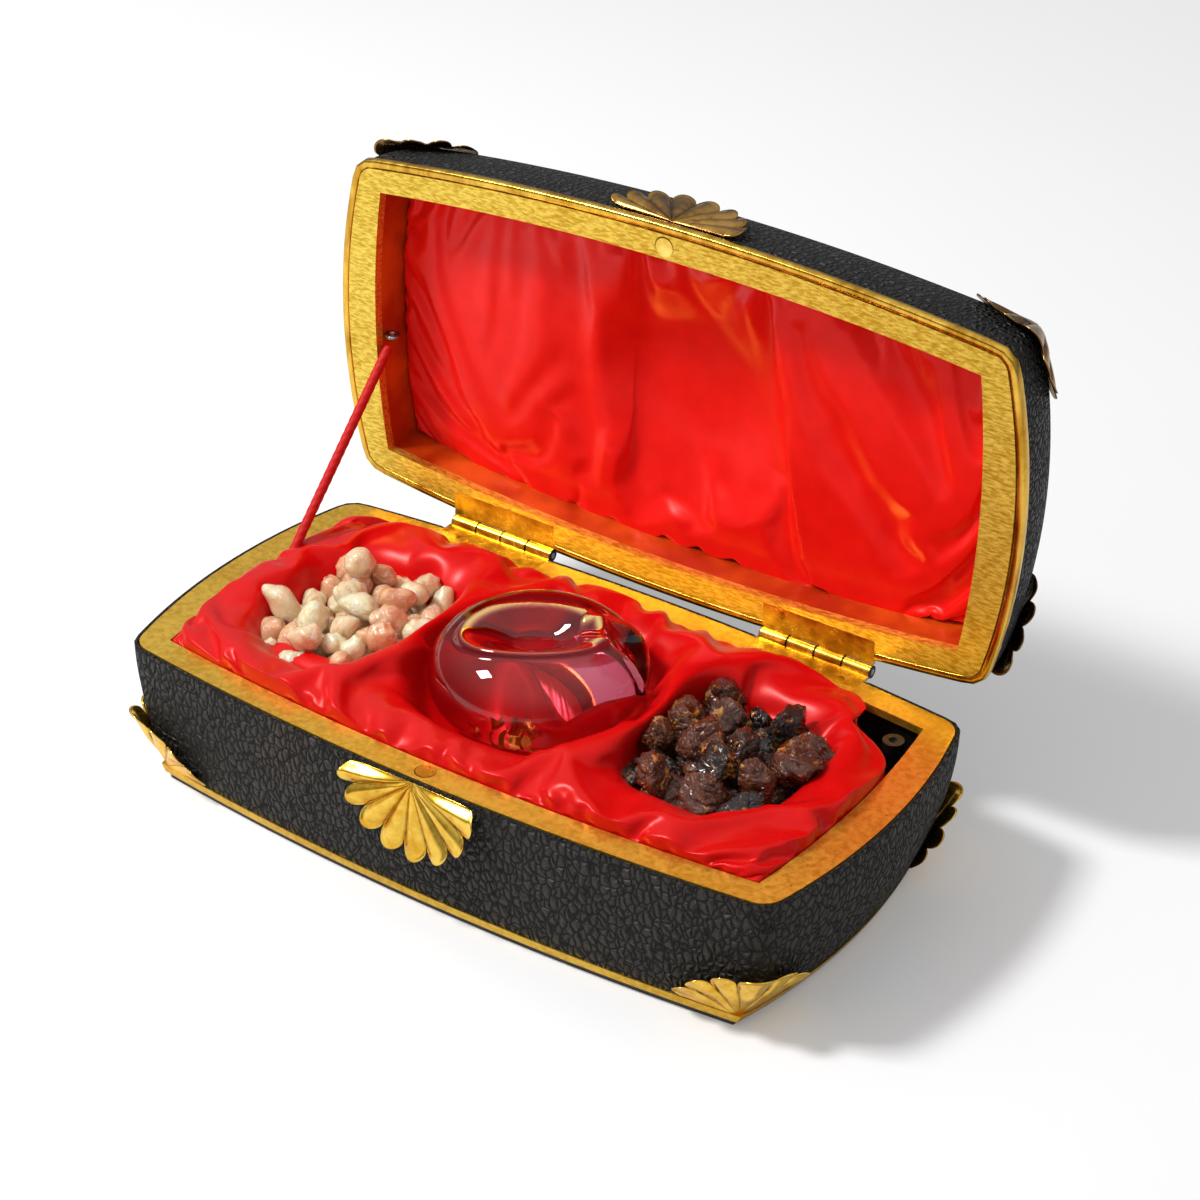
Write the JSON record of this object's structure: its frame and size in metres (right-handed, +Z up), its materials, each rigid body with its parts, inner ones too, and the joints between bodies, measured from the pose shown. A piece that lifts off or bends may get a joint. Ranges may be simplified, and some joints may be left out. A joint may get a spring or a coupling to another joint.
{
  "type": "music box",
  "caption": "Leather-covered musical casket with bowed sides, gilt rims, brass shell mounts, a hinged lid on a stay cord and satin wells for keepsakes.",
  "frame": {"origin": "centre of the bottom face, on the table", "axes": "+X along the length to the right, +Y to the hinge side, +Z up"},
  "size_m": [0.2252, 0.1444, 0.1589],
  "materials": {
    "gilt": "leaf-gilt, brushed",
    "brass": "stamped, lacquered",
    "polished_brass": "polished",
    "movement_brass": "machined",
    "steel": "bright",
    "comb_block_iron": "painted grey",
    "leather": "crinkle grain, matt",
    "walnut": "lacquered",
    "board": "stained dark grey",
    "satin": "satin weave, glossy",
    "cord": "wound cotton",
    "black_bush": "moulded black",
    "pale_resin": "frosted natural resin",
    "orb_glass": "clear, fire polished",
    "dark_resin": "rough natural resin"
  },
  "bodies": {
    "base": {"base_rim": "gilt", "foot_strip": "brass", "base_mount_front_left": "brass", "base_mount_front_right": "brass", "base_mount_rear_left": "brass", "base_mount_rear_right": "brass", "base_front_shell": "brass", "base_catch_plug": "polished_brass", "hinge_left_base_leaf": "polished_brass", "hinge_right_base_leaf": "polished_brass", "base_hinge_screws": "polished_brass", "movement_bedplate": "movement_brass", "cylinder_brackets": "movement_brass", "hinge_left_pin": "steel", "hinge_right_pin": "steel", "base_screw_eye": "steel", "bedplate_screws": "steel", "comb": "steel", "comb_screws": "steel", "comb_block": "comb_block_iron", "base_leather": "leather", "base_frame": "walnut", "tray_board": "walnut", "tray_cleats": "walnut", "bottom_board": "board", "base_lining": "satin", "stay_cord": "cord", "stop_bush": "black_bush", "pale_resin_tears": "pale_resin", "glass_orb": "orb_glass", "dark_resin_lumps": "dark_resin"},
    "lid": {"lid_frame": "walnut", "lid_top_board": "walnut", "lid_leather": "leather", "lid_rim": "gilt", "lid_edge_bead": "polished_brass", "lid_lining": "satin", "lid_mount_front_left": "brass", "lid_mount_front_right": "brass", "lid_mount_rear_left": "brass", "lid_mount_rear_right": "brass", "lid_front_shell": "brass", "lid_catch_plug": "polished_brass", "hinge_left_lid_leaf": "polished_brass", "hinge_right_lid_leaf": "polished_brass", "lid_hinge_screws": "polished_brass", "lid_screw_eye": "steel"},
    "key": {"winding_arbor": "steel", "winding_key": "movement_brass"},
    "cylinder": {"music_cylinder": "movement_brass", "cylinder_pinion": "steel", "cylinder_wheel": "movement_brass"},
    "barrel": {"spring_barrel": "movement_brass"},
    "idler": {"idler_gear": "movement_brass"},
    "governor": {"governor_fan": "steel"},
    "stop": {"stop_rod": "steel"}
  },
  "joints": [
    {"name": "lid_hinge", "type": "hinge", "parent": "base", "child": "lid", "pos_m": [0, 0.0578, 0.0428], "axis": [1, 0, 0], "range_deg": [0, 90], "deforming": ["stay_cord"]},
    {"name": "key_wind", "type": "hinge", "parent": "base", "child": "key", "pos_m": [0.038, 0.006, 0.003], "axis": [0, 0, 1], "continuous": true},
    {"name": "cylinder_spin", "type": "hinge", "parent": "base", "child": "cylinder", "pos_m": [0.06, 0.006, 0.0215], "axis": [1, 0, 0], "continuous": true},
    {"name": "barrel_spin", "type": "hinge", "parent": "base", "child": "barrel", "pos_m": [0.038, 0.006, 0.012], "axis": [0, 0, 1], "continuous": true},
    {"name": "idler_spin", "type": "hinge", "parent": "base", "child": "idler", "pos_m": [0.06, 0.01358, 0.01713], "axis": [1, 0, 0], "continuous": true},
    {"name": "governor_spin", "type": "hinge", "parent": "base", "child": "governor", "pos_m": [0.06, 0.02041, 0.01616], "axis": [1, 0, 0], "continuous": true},
    {"name": "stop_push", "type": "slide", "parent": "base", "child": "stop", "axis": [0, 0, 1], "range_m": [-0.003, 0], "stiffness_N_per_m": 40, "springref_m": 0.001}
  ],
  "couplings": [
    {"joint": "barrel_spin", "follows": "cylinder_spin", "ratio": 0.28571},
    {"joint": "idler_spin", "follows": "cylinder_spin", "ratio": -4},
    {"joint": "governor_spin", "follows": "cylinder_spin", "ratio": 14.4}
  ]
}
